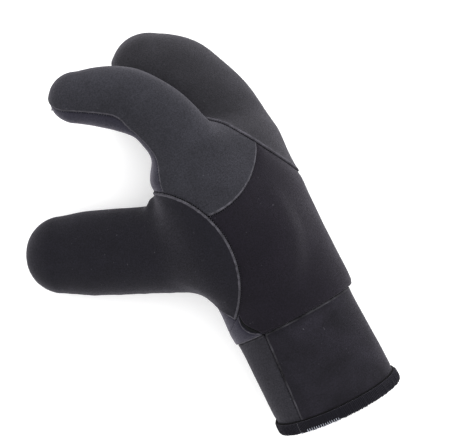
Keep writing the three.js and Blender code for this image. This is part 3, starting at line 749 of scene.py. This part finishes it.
def make_panel(name, net, onto_skin):
    """Vertices in millimetres, faces, and what each face is, with the loops of the panel's rim,
    the panel beside each of its edges, and the way from the rim into the panel."""
    points, normals, quads, region, names = net
    mine = quads[region == names.index(name)]
    start, end, _ = edges_of(mine)
    edges = list(zip(start.tolist(), end.tolist()))
    own = set(edges)
    owner = by_edge(quads, [names[r] for r in region])
    used = np.unique(mine)
    count = len(points)
    place = points.copy()
    role = np.zeros(count)
    round_off = np.ones(count)
    fold = np.zeros(count)
    beside = {}
    into = np.zeros((count, 3))
    loops = rim_loops([(a, b) for a, b in edges if (b, a) not in own])
    for loop in loops:
        here, ahead = points[loop], points[np.roll(loop, -1)]
        edge_into = unit(np.cross(normals[loop], ahead - here))
        before = np.roll(edge_into, 1, axis=0)
        meet = np.maximum(1 + (edge_into * before).sum(1), 0.5)[:, None]
        inward = (edge_into + before) / meet
        flat = (meet[:, 0] > 1.9)[:, None]
        into[loop] = np.where(flat, smooth_round(inward, 3), inward)
        rows = []
        for a, b in round_loop(loop):
            other = owner.get((b, a), "")
            if other == "cut_away":
                other = ""
            flush = {name, other} == FLUSH
            lies = 0 if flush or not other else (1 if RANK[name] > RANK[other] else -1)
            rows.append((lies, FLUSH_EDGE if flush else 1, fold_at(name, other, points[a])))
            beside[(a, b)] = other
        roles, rounded, folds = np.array(rows, float).T
        role[loop] = smooth_round((roles + np.roll(roles, 1)) / 2, 3)
        round_off[loop] = smooth_round(np.minimum(rounded, np.roll(rounded, 1)), 1)
        fold[loop] = smooth_round(folds, 2)
    rim = np.concatenate(loops)
    place[rim] += into[rim] * INSET
    is_rim = np.zeros(count, bool)
    is_rim[rim] = True
    inner = used[~is_rim[used]]

    def even_out(share):
        middle = average(count, start, end, place)
        place[inner] = lerp(place[inner], middle[inner], share)

    for _ in range(3):
        even_out(0.5)
    if onto_skin:
        place[inner] = settle(place[inner], skin, 1)
    if name == "thumb_panel":
        taut = 0.5 * bell(np.linalg.norm(place - TAUT_AT, axis=1), 0, TAUT_REACH)[:, None]
        for _ in range(TAUT_ROUNDS):
            even_out(taut[inner])
    which, far = near_rim(place[inner], points[rim])
    height = np.zeros(count)
    height[inner] = height_near_seam(role[rim][which], fold[rim][which], far, place[inner])
    height[rim] = height_near_seam(role[rim], fold[rim], np.full(len(rim), INSET), points[rim])
    if not onto_skin:
        height -= pinch_above_binding(place)
    height += UNEVENNESS * waves(place, FOAM_WAVES)

    index = {}
    vertices = []

    def add(key, position):
        index[key] = len(vertices)
        vertices.append(position)

    for v in used:
        add((v, "out"), place[v] + normals[v] * height[v])
        add((v, "in"), place[v] - normals[v] * WALL)
    for v in rim:
        for row, (distance, depth) in enumerate(EDGE[1:], 1):
            here = points[v : v + 1]
            lift = UNEVENNESS * waves(here, FOAM_WAVES)[0]
            if row <= FOAM_ROW:
                lift += height_near_seam(role[v], fold[v], distance, here)[0]
                depth *= round_off[v]
            if row >= FOAM_ROW:
                distance *= max(round_off[v], 0.4)
            add((v, row), points[v] + into[v] * distance + normals[v] * (lift - depth))
    faces = []
    kinds = []

    def add_face(corners, kind):
        faces.append([index[corner] for corner in corners])
        kinds.append(kind)

    for row in mine.tolist():
        add_face([(v, "out") for v in row], CLOTH)
        add_face([(v, "in") for v in row[::-1]], INSIDE)
    last = len(EDGE)
    for loop in loops:
        for a, b in round_loop(loop):
            other = beside[(a, b)]
            at_cuff_top = name.startswith("cuff") and points[a, 1] > -1
            flush = {name, other} == FLUSH
            shows = RANK[name] > RANK[other] if other else at_cuff_top
            if flush or fold_at(other, name, points[a]) > IN_FOLD:
                shows = False
            # The gusset's rim at the wrist is coloured pale: the cut edge's own colour and a
            # painted highlight along the wrist seam.
            at_gusset = name == "palm_panel" and not other
            # Faces in the gusset's tuck are coloured as the black foam: painted shade of the
            # tuck.
            tuck_painted_shade = fold_at(name, other, points[a]) > IN_FOLD
            for row in range(last):
                top = "out" if row == 0 else row
                low = "in" if row == last - 1 else row + 1
                if row >= FOAM_ROW or tuck_painted_shade:
                    kind = CLOTH if flush else FOAM_EDGE_AND_TUCK_SHADE
                elif at_gusset:
                    kind = GUSSET_EDGE if row else CLOTH
                else:
                    kind = CUT_EDGE_AND_HIGHLIGHT if shows else CLOTH
                add_face([(b, top), (a, top), (a, low), (b, low)], kind)
    return np.array(vertices), faces, kinds, loops, beside, into


def to_metres(points):
    moved = (np.asarray(points) + ORIGIN) / 1000
    moved[:, 2] = np.maximum(moved[:, 2], 0.00005)
    return moved


def new_object(name, vertices, faces, kinds, materials, levels=1):
    mesh = bpy.data.meshes.new(name)
    mesh.from_pydata(to_metres(vertices).tolist(), [], faces)
    for material in materials:
        mesh.materials.append(material)
    mesh.polygons.foreach_set("material_index", kinds)
    mesh.polygons.foreach_set("use_smooth", [True] * len(faces))
    mesh.validate()
    mesh.update()
    piece = bpy.data.objects.new(name, mesh)
    scene.collection.objects.link(piece)
    if levels:
        rounding = piece.modifiers.new("rounding", "SUBSURF")
        rounding.levels = levels
        rounding.render_levels = levels
    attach(piece, "root")
    return piece


# Materials. Colours are linear, noise scales are cells a metre, pitches and reliefs are metres.

UNEVEN_SCALE = 38
FINE_SCALE = 1100
LINT_SCALE = 640
JERSEY_PITCH = 0.0005
PALM_PITCH = 0.0007
LINING_PITCH = 0.0012


def set_inputs(node, values):
    for name, value in values.items():
        node.inputs[name].default_value = value


def new_material(name, colour, roughness, sheen=0.0):
    material = bpy.data.materials.new(name)
    material.use_nodes = True
    shader = material.node_tree.nodes["Principled BSDF"]
    set_inputs(shader, {
        "Base Color": (*colour, 1), "Roughness": roughness, "Sheen Weight": sheen,
        "Sheen Roughness": 0.45, "Sheen Tint": (0.9, 0.85, 1.0, 1), "Specular IOR Level": 0.13,
    })
    return material, material.node_tree, shader


def noise(tree, scale, detail, distortion=0.0):
    where = tree.nodes.get("Texture Coordinate") or tree.nodes.new("ShaderNodeTexCoord")
    node = tree.nodes.new("ShaderNodeTexNoise")
    set_inputs(node, {"Scale": scale, "Detail": detail, "Distortion": distortion})
    tree.links.new(where.outputs["Object"], node.inputs["Vector"])
    return node.outputs["Fac"]


def ramp(tree, value, stops):
    node = tree.nodes.new("ShaderNodeValToRGB")
    elements = node.color_ramp.elements
    elements[0].position, elements[0].color = stops[0][0], (*stops[0][1], 1)
    elements[1].position, elements[1].color = stops[-1][0], (*stops[-1][1], 1)
    for position, colour in stops[1:-1]:
        elements.new(position).color = (*colour, 1)
    tree.links.new(value, node.inputs["Fac"])
    return node.outputs["Color"]


def blend_colours(tree, kind, a, b, factor):
    node = tree.nodes.new("ShaderNodeMix")
    node.data_type = "RGBA"
    node.blend_type = kind
    set_inputs(node, {"Factor": factor})
    tree.links.new(a, node.inputs["A"])
    tree.links.new(b, node.inputs["B"])
    return node.outputs["Result"]


def shade(colour, factor):
    return tuple(min(1.0, c * factor) for c in colour)


def grey(value):
    return (value, value, value)


def roughen(tree, shader, height, relief):
    bump = tree.nodes.new("ShaderNodeBump")
    set_inputs(bump, {"Strength": 0.6, "Distance": relief})
    tree.links.new(height, bump.inputs["Height"])
    tree.links.new(bump.outputs["Normal"], shader.inputs["Normal"])


def knit(
    name, colour, pitch, sheen=0.1, contrast=0.33, relief=0.00016, roughness=0.85, unevenness=0.16
):
    """A fine jersey with loops at a pitch: mottled, uneven in colour, a little lint."""
    material, tree, shader = new_material(name, colour, roughness, sheen)
    slow = noise(tree, UNEVEN_SCALE, 3, 0.6)
    fine = noise(tree, FINE_SCALE, 2)
    fuzz = noise(tree, 1.1 / pitch, 2)
    dark, light = shade(colour, 1 - unevenness), shade(colour, 1 + unevenness)
    broad = ramp(tree, slow, [(0.3, dark), (0.7, light)])
    mottle = ramp(tree, fine, [(0.3, grey(1 - contrast)), (0.7, grey(1 + contrast))])
    mottled = blend_colours(tree, "MULTIPLY", broad, mottle, 1.0)
    lint = ramp(tree, noise(tree, LINT_SCALE, 0), [(0.83, grey(0.0)), (0.9, (0.03, 0.03, 0.033))])
    speckled = blend_colours(tree, "ADD", mottled, lint, 1.0)
    tree.links.new(speckled, shader.inputs["Base Color"])
    dull = ramp(tree, fine, [(0.2, grey(roughness - 0.08)), (0.8, grey(roughness + 0.08))])
    tree.links.new(dull, shader.inputs["Roughness"])
    brushed = ramp(tree, fine, [(0.3, grey(0.3 * sheen)), (0.7, grey(1.7 * sheen))])
    tree.links.new(brushed, shader.inputs["Sheen Weight"])
    both = tree.nodes.new("ShaderNodeMath")
    both.operation = "ADD"
    tree.links.new(fine, both.inputs[0])
    tree.links.new(fuzz, both.inputs[1])
    roughen(tree, shader, both.outputs["Value"], relief)
    return material


def plain_fibre(name, colour, scale, relief, roughness=0.85, sheen=0.2, contrast=0.3):
    material, tree, shader = new_material(name, colour, roughness, sheen)
    dark, light = shade(colour, 1 - contrast), shade(colour, 1 + contrast)
    mixed = ramp(tree, noise(tree, scale, 3), [(0.3, dark), (0.72, light)])
    tree.links.new(mixed, shader.inputs["Base Color"])
    roughen(tree, shader, noise(tree, scale * 1.7, 2), relief)
    return material


# Each panel's colour is fitted to how bright it looks in the photo. The four panels are one
# jersey: the differences between their colours are painted light and shade.
JERSEY_WITH_PAINTED_LIGHT = {
    "back_panel": (0.0058, 0.0046, 0.0079),
    "finger_panel": (0.0190, 0.0189, 0.0238),
    "pouch_panel": (0.0145, 0.0140, 0.0170),
    "thumb_panel": (0.0072, 0.0068, 0.0101),
}
outer = {name: knit(name + "_jersey", colour, JERSEY_PITCH) for name, colour in JERSEY_WITH_PAINTED_LIGHT.items()}
palm_skin = knit("palm_skin", (0.0170, 0.0160, 0.0255), PALM_PITCH, 0.25, 0.15, 0.00012, 0.7)
cuff_jersey = knit("cuff_jersey", (0.0091, 0.0082, 0.0119), JERSEY_PITCH, unevenness=0.4)
# The cuff's palm side is the same jersey as its back; its lighter colour is painted light falling
# from the side.
cuff_side_painted_light = knit("cuff_side_painted_light", (0.0196, 0.0188, 0.0235), JERSEY_PITCH)
lining = knit("lining", (0.015, 0.015, 0.018), LINING_PITCH, 0.3, 0.25, 0.0004, 0.92)
# Black foam of the cut edges, also laid as painted shade in the gusset's tuck.
foam_and_tuck_shade = plain_fibre("foam_and_tuck_shade", (0.006, 0.006, 0.0068), 900, 0.0002, 0.9, 0.0)
# Pale seam edges: the cut edge's own colour, lightened further as a painted highlight where the
# seam's ridge meets the light.
pale_edge_and_highlight = plain_fibre("pale_edge_and_highlight", (0.050, 0.048, 0.057), 300, 0.0002, 0.75, 0.1, 0.5)
dark_edge = plain_fibre("dark_edge", (0.012, 0.0115, 0.0145), 420, 0.0002, 0.85, 0.1, 0.35)
# The cuff's pale edges, at its top and its side seam: the cut edge's colour, lightened as a
# painted highlight where the edge meets the light.
thin_edge_and_highlight = plain_fibre("thin_edge_and_highlight", (0.030, 0.029, 0.034), 110, 0.0002, 0.8, 0.1, 0.9)
thread = plain_fibre("thread", (0.075, 0.074, 0.082), 2500, 0.0001, 0.75, 0.1)
overlock = plain_fibre("overlock", (0.0048, 0.0046, 0.0072), 1500, 0.0004, 0.95, 0.15, 0.45)
seam_thread = plain_fibre("seam_thread", (0.023, 0.022, 0.027), 2500, 0.0001, 0.8, 0.1)
needle_and_painted_shadow = plain_fibre("needle_and_painted_shadow", (0.0025, 0.0025, 0.003), 1500, 0.0001, 0.95, 0.0)
pale_thread = plain_fibre("pale_thread", (0.42, 0.44, 0.50), 2500, 0.0001, 0.6, 0.2, 0.1)


# The hand.

points, quads, region = net_of_skin()
join_strays(quads, region)
open_corners(len(points), quads, region)
points = relax(points, quads, region, 7)
normals = unit(slope_of(skin, points, nearest(points)))
at_wrist = np.unique(quads[region == 0])
normals[at_wrist, 1] = 0
normals = unit(normals)
hand_net = (points, normals, quads, region, NAMES)


def add_panel(name, net, onto_skin, materials):
    made = make_panel(name, net, onto_skin)
    piece = new_object("neoprene_" + name, *made[:3], materials)
    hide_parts(name)
    return made


panels = {}
for name in NAMES[1:]:
    if name in FLUSH:
        materials, slot = [palm_skin, dark_edge, lining, foam_and_tuck_shade, pale_edge_and_highlight], "palm_skin"
    else:
        materials, slot = [outer[name], pale_edge_and_highlight, lining, foam_and_tuck_shade, pale_edge_and_highlight], "jersey"
    panels[name] = add_panel(name, hand_net, True, materials)


# The cuff: a ring of quads, divided at the two side seams.


def cuff_section(share):
    width, height, lean = (np.interp(share, CUFF_ROWS[:, 0], CUFF_ROWS[:, n]) for n in (1, 2, 3))
    return width * CUFF_WIDTH / 2, height * CUFF_HEIGHT / 2, lean


def round_ellipse(section, angle):
    half_width, half_height, lean = section
    upright = math.sqrt(1 - lean * lean)
    x = half_width * np.cos(angle)
    z = half_height * (upright * np.sin(angle) - lean * np.cos(angle))
    dx = -half_width * np.sin(angle)
    dz = half_height * (upright * np.cos(angle) + lean * np.sin(angle))
    return x, z, unit(np.column_stack([dz, 0 * dz, -dx]))


def seam_angle(share):
    side, up = dorsal_at(share)
    lean = cuff_section(share)[2]
    return math.pi - math.atan2(side - up * lean, up * math.sqrt(1 - lean * lean))


def mouth_at(x, z):
    return -CUFF_LENGTH - MOUTH_SLOPE * x - MOUTH_DROOP * z


CUFF_CENTRE = CUFF_HEIGHT / 2 + BINDING_PROUD - REST_SINK
HALF_TURN = 48
STATIONS = 27


def net_of_cuff():
    ring = 2 * HALF_TURN
    places = []
    turned = []
    for s in range(STATIONS + 1):
        share = s / STATIONS
        angles = seam_angle(share) + math.pi * np.arange(ring) / HALF_TURN
        x, z, normal = round_ellipse(cuff_section(share), angles)
        places.append(np.column_stack([x, mouth_at(x, z) * share, z + CUFF_CENTRE]))
        turned.append(normal)
    s, n = np.divmod(np.arange(STATIONS * ring), ring)
    follow = (n + 1) % ring
    corners = [s * ring + n, s * ring + follow, (s + 1) * ring + follow, (s + 1) * ring + n]
    halves = np.where(n < HALF_TURN, 1, 0)
    return np.vstack(places), np.vstack(turned), np.column_stack(corners), halves


cuff_net = (*net_of_cuff(), ["cuff_back", "cuff_palm"])
for name, face in (("cuff_back", cuff_jersey), ("cuff_palm", cuff_side_painted_light)):
    add_panel(name, cuff_net, False, [face, thin_edge_and_highlight, lining, foam_and_tuck_shade])


# The binding: overlocked ribs that wrap the cuff's mouth.

RIBS = 230
COLUMNS = 6  # points across each rib
RIB_SLANT = 0.045  # ribs that the thread leans by from one row of the wrap to the next
HANGING_ROWS = range(7, 13)  # at the mouth's edge, where ribs hang unevenly

# Once round the binding's section: how far out of the cuff, how far from its edge, and how
# much of the ribs' relief it takes.
WRAP = np.array([
    [0.2, 6.0, 0.1], [0.6, 6.25, 0.3], [1.1, 6.05, 0.5], [1.45, 5.1, 0.7], [1.6, 3.6, 0.8],
    [1.65, 2.0, 0.9], [1.6, 0.6, 1.0], [1.4, -0.6, 1.0], [0.85, -1.35, 1.0], [0.0, -1.6, 1.0],
    [-1.5, -1.5, 0.7], [-3.3, -1.5, 0.7], [-4.9, -1.4, 0.8], [-5.9, -0.9, 1.0], [-6.35, 0.2, 1.0],
    [-6.45, 2.0, 1.0], [-6.4, 3.8, 1.0], [-6.2, 5.2, 0.9], [-5.8, 5.8, 0.5], [-5.35, 5.7, 0.0],
    [-5.3, 2.7, 0.0], [-5.3, -0.3, 0.0], [-2.6, -0.3, 0.0], [0.25, -0.3, 0.0], [0.25, 3.0, 0.0],
])


def faces_between(pairs, size):
    """Quads between pairs of rings, each a number of vertices round."""
    return [
        [n * size + i, n * size + (i + 1) % size, m * size + (i + 1) % size, m * size + i]
        for n, m in pairs
        for i in range(size)
    ]


def make_binding():
    count = RIBS * COLUMNS
    angles = seam_angle(1) + 2 * math.pi * np.arange(count) / count
    x, z, normal = round_ellipse(cuff_section(1), angles)
    wobble = np.random.default_rng(7)
    height = wobble.normal(0, 0.12, RIBS)
    hang = wobble.normal(0, 0.1, RIBS)
    rib = np.arange(count) // COLUMNS
    phase = (np.arange(count) % COLUMNS) / COLUMNS
    along_wrap = unit(np.roll(WRAP[:, :2], -1, axis=0) - np.roll(WRAP[:, :2], 1, axis=0))
    rows = []
    for n, (out, along, relief) in enumerate(WRAP):
        slant = phase + RIB_SLANT * n
        here = (rib + np.floor(slant).astype(int)) % RIBS
        bulge = relief * ((0.5 + height[here]) * np.sin(math.pi * (slant % 1.0)) - 0.3)
        far = out - bulge * along_wrap[n, 1]
        deep = along + bulge * along_wrap[n, 0]
        if n in HANGING_ROWS:
            deep = deep + hang[here]
        across = x + far * normal[:, 0]
        tall = z + far * normal[:, 2]
        rows.append(np.column_stack([across, mouth_at(across, z) + deep, tall + CUFF_CENTRE]))
    pairs = [(n, (n + 1) % count) for n in range(count)]
    return np.stack(rows, 1).reshape(-1, 3), faces_between(pairs, len(WRAP))


vertices, faces = make_binding()
piece = new_object("overlocked_binding", vertices, faces, [0] * len(faces), [overlock], 0)
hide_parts("cuff_binding")


# Stitches: short tubes of thread.


def tube_round(path, radii, sides=6):
    """Vertices and faces of a closed tube along a path, with a radius at each point."""
    path = np.asarray(path, float)
    ahead = unit(np.gradient(path, axis=0))
    beside = unit(np.cross(ahead, [0.31, 0.17, 0.93]))
    above = np.cross(ahead, beside)
    turn = 2 * math.pi * np.arange(sides) / sides
    cosine, sine = np.cos(turn)[None, :, None], np.sin(turn)[None, :, None]
    ring = cosine * beside[:, None] + sine * above[:, None]
    vertices = (path[:, None] + ring * np.asarray(radii)[:, None, None]).reshape(-1, 3)
    faces = faces_between([(n, n + 1) for n in range(len(path) - 1)], sides)
    faces.append(list(range(sides))[::-1])
    faces.append([(len(path) - 1) * sides + i for i in range(sides)])
    return vertices, faces


def add_threads(name, threads, materials):
    """One piece of many tubes; each thread is its path, its radii and its material's number."""
    vertices = []
    faces = []
    kinds = []
    for path, radii, kind in threads:
        tube, sides = tube_round(path, radii)
        faces += [[len(vertices) + i for i in face] for face in sides]
        kinds += [kind] * len(sides)
        vertices += tube.tolist()
    piece = new_object(name, vertices, faces, kinds, materials, 0)


STITCH = 0.95  # how far a stitch reaches to each side of its seam
STITCH_RADIUS = 0.13
STITCH_PITCH = 1.7
PALE_SHARE = 0.45  # share of pale stitches where a panel meets the palm


def face_height(role, distance, here):
    depth = np.interp(distance, EDGE[4::-1, 0], EDGE[4::-1, 1])
    height = UNEVENNESS * waves(here, FOAM_WAVES) + height_near_seam(role, 0.0, distance, here)
    return height[0] - depth


def stitches_along(name, net, made, chance):
    """Slanting stitches over each seam where this panel's edge lies on its neighbour's."""
    points, normals = net[:2]
    loops, beside, into = made[3:]
    threads = []
    for loop in loops:
        gone = 0.0
        for a, b in round_loop(loop):
            other = beside[(a, b)]
            if not other or RANK[name] < RANK[other] or {name, other} == FLUSH:
                continue
            if fold_at(other, name, points[a]) > IN_FOLD:  # no stitches show in the tuck
                continue
            length = np.linalg.norm(points[b] - points[a])
            while gone < length:
                share = gone / length
                here = lerp(points[a], points[b], share)
                up = unit(lerp(normals[a], normals[b], share))
                inward = unit(lerp(into[a], into[b], share))
                ahead = (points[b] - points[a]) / length
                path = []
                for t in (-1.0, -0.75, -0.3, 0.3, 0.75, 1.0):
                    role = 1.0 if t > 0 else -1.0
                    height = face_height(role, STITCH * max(abs(t), 0.8), here[None])
                    height += 0.05 if abs(t) < 1 else -0.3
                    path.append(here + inward * STITCH * t + ahead * 0.5 * t + up * height)
                pale = other == "palm_panel" and chance.random() < PALE_SHARE
                threads.append((path, [STITCH_RADIUS] * len(path), 1 if pale else 0))
                gone += STITCH_PITCH
            gone -= length
    return threads


chance = np.random.default_rng(11)
threads = []
for name in ("back_panel", "finger_panel", "pouch_panel", "thumb_panel"):
    threads += stitches_along(name, hand_net, panels[name], chance)
add_threads("seam_stitches", threads, [seam_thread, thread])


def shade_and_highlight_of_gusset_tuck(net, made):
    """A dark roll laid in the gusset's tuck as painted shade, and the raised line along its palm
    side, coloured pale as a painted highlight.
    """
    points, normals = net[:2]
    loops, beside, into = made[3:]
    found = []
    for loop in loops:
        for a, b in round_loop(loop):
            if fold_at("palm_panel", beside[(a, b)], points[a]) > 0:
                found.append(a)
    found.sort(key=lambda v: points[v, 1])
    shares = np.linspace(0, 1, len(found))
    swell = np.sin(math.pi * shares)[:, None]
    crease = points[found] + into[found] * (1.2 + 3.0 * swell) + 0.2 * normals[found]
    dark_roll_painted_shade = points[found] + into[found] * (0.5 + 1.3 * swell) - 1.3 * normals[found]
    return [
        (smooth_open(crease, 4), [0.32] * len(found), 0),
        (smooth_open(dark_roll_painted_shade, 4), 0.4 + 1.2 * swell[:, 0], 1),
    ]


def smooth_open(path, passes):
    for _ in range(passes):
        path = path.copy()
        path[1:-1] = (path[:-2] + 2 * path[1:-1] + path[2:]) / 4
    return path


add_threads("gusset_tuck_roll_and_line", shade_and_highlight_of_gusset_tuck(hand_net, panels["palm_panel"]), [pale_edge_and_highlight, foam_and_tuck_shade])


def round_mouth(angles, out, along):
    """Places a distance out of the cuff and a distance along it from its mouth."""
    x, z, normal = round_ellipse(cuff_section(1), angles)
    across = x + out * normal[:, 0]
    tall = z + out * normal[:, 2]
    return np.column_stack([across, mouth_at(across, tall) + along, tall + CUFF_CENTRE])


def over_binding(x, profile, radius, kind):
    """A thread over the binding on the upper side, at a place across the cuff."""
    angle = np.array([math.acos(x / cuff_section(1)[0])])
    path = [round_mouth(angle, out, along)[0] for out, along in profile]
    return path, [radius] * len(path), kind


# Threads over the binding: how far out of the cuff, and how far from its edge.
LOOP = [[1.5, 0.7], [1.9, 0.1], [1.85, -0.7], [1.4, -1.4], [0.9, -1.8]]
LONG_THREAD = [[1.2, 6.5], [1.7, 4.6], [1.85, 2.0], [1.8, 0.0], [1.2, -1.7]]
LOOPS = 15
LOOP_PITCH = 1.5
FIRST_LOOP = -26.5  # across the cuff from its middle
SEAM_THREAD = -31.0
threads = [over_binding(FIRST_LOOP + LOOP_PITCH * n, LOOP, 0.17, 0) for n in range(LOOPS)]
threads.append(over_binding(SEAM_THREAD, LONG_THREAD, 0.12, 1))
threads.append(over_binding(SEAM_THREAD + 0.4, LOOP[2:], 0.2, 0))
add_threads("overlock_loops", threads, [pale_thread, thread])


NEEDLE_OUT = 0.1
NEEDLE_ALONG = 6.75
NEEDLE_RADIUS = 0.55


def needle_line():
    """The overlock's needle thread, drawn tight round the cuff along the binding's upper edge;
    black and wide, it is also a painted shadow line along the binding's top.
    """
    angles = seam_angle(1) + 2 * math.pi * np.arange(361) / 360
    path = round_mouth(angles, NEEDLE_OUT, NEEDLE_ALONG)
    return path, NEEDLE_RADIUS + 0.06 * np.sin(90 * angles), 0


add_threads("needle_thread_and_shadow_line", [needle_line()], [needle_and_painted_shadow])

# The thread's end at the first finger's tip, measured from the wrist seam's middle.
knot = [[-75.6, 196.6, 74.6], [-77.4, 195.9, 75.0], [-78.9, 195.0, 75.0], [-79.9, 194.2, 74.6]]
add_threads("fingertip_knot", [(knot, [0.9, 1.1, 0.8, 0.35], 0)], [seam_thread])


# Stage, light and camera, in metres.

IMAGE_TURN = math.radians(27.3)  # the image's up direction, clockwise from the frame's +Y
IMAGE_MIDDLE = (0.0365, 0.00246)
CAMERA_HEIGHT = 0.88

floor_mesh = bpy.data.meshes.new("floor")
floor_mesh.from_pydata([(-3, -3, 0), (3, -3, 0), (3, 3, 0), (-3, 3, 0)], [], [(0, 1, 2, 3)])
floor = bpy.data.objects.new("floor", floor_mesh)
scene.collection.objects.link(floor)
paper, _, paper_shader = new_material("paper", (0.93, 0.93, 0.93), 0.9)
set_inputs(paper_shader, {"Emission Color": (1, 1, 1, 1), "Emission Strength": 0.26})
floor_mesh.materials.append(paper)

scene.view_settings.view_transform = "Standard"
world = bpy.data.worlds.new("studio")
scene.world = world
world.use_nodes = True
set_inputs(world.node_tree.nodes["Background"], {"Color": (1, 1, 1, 1), "Strength": 1.0})


def add_light(name, place, target, size, power):
    light = bpy.data.lights.new(name, "AREA")
    light.shape = "RECTANGLE"
    light.size, light.size_y = size
    light.energy = power
    holder = bpy.data.objects.new(name, light)
    scene.collection.objects.link(holder)
    holder.location = place
    away = np.array(place, float) - np.array(target, float)
    away /= np.linalg.norm(away)
    level = math.hypot(away[0], away[1])
    holder.rotation_euler = (math.atan2(level, away[2]), 0, math.atan2(away[0], -away[1]))


def from_image(right, up, height):
    """A place given along the image's right and up directions from the image's middle."""
    x = right * math.cos(IMAGE_TURN) + up * math.sin(IMAGE_TURN)
    y = -right * math.sin(IMAGE_TURN) + up * math.cos(IMAGE_TURN)
    return (x + IMAGE_MIDDLE[0], y + IMAGE_MIDDLE[1], height)


add_light("top_softbox", from_image(0.35, 1.1, 0.95), from_image(0, 0, 0.04), (1.2, 0.8), 14)
add_light("overhead", from_image(-0.2, 0.1, 1.6), from_image(0, 0, 0), (1.4, 1.4), 9)
add_light("right_strip", from_image(1.2, 0.1, 0.45), from_image(0, 0, 0.04), (0.4, 1.2), 2.0)

camera = bpy.data.cameras.new("camera")
camera.sensor_width = 36
camera.lens = 98.8
camera.clip_start = 0.01
viewer = bpy.data.objects.new("camera", camera)
scene.collection.objects.link(viewer)
viewer.location = (*IMAGE_MIDDLE, CAMERA_HEIGHT)
viewer.rotation_euler = (0, 0, -IMAGE_TURN)
scene.camera = viewer
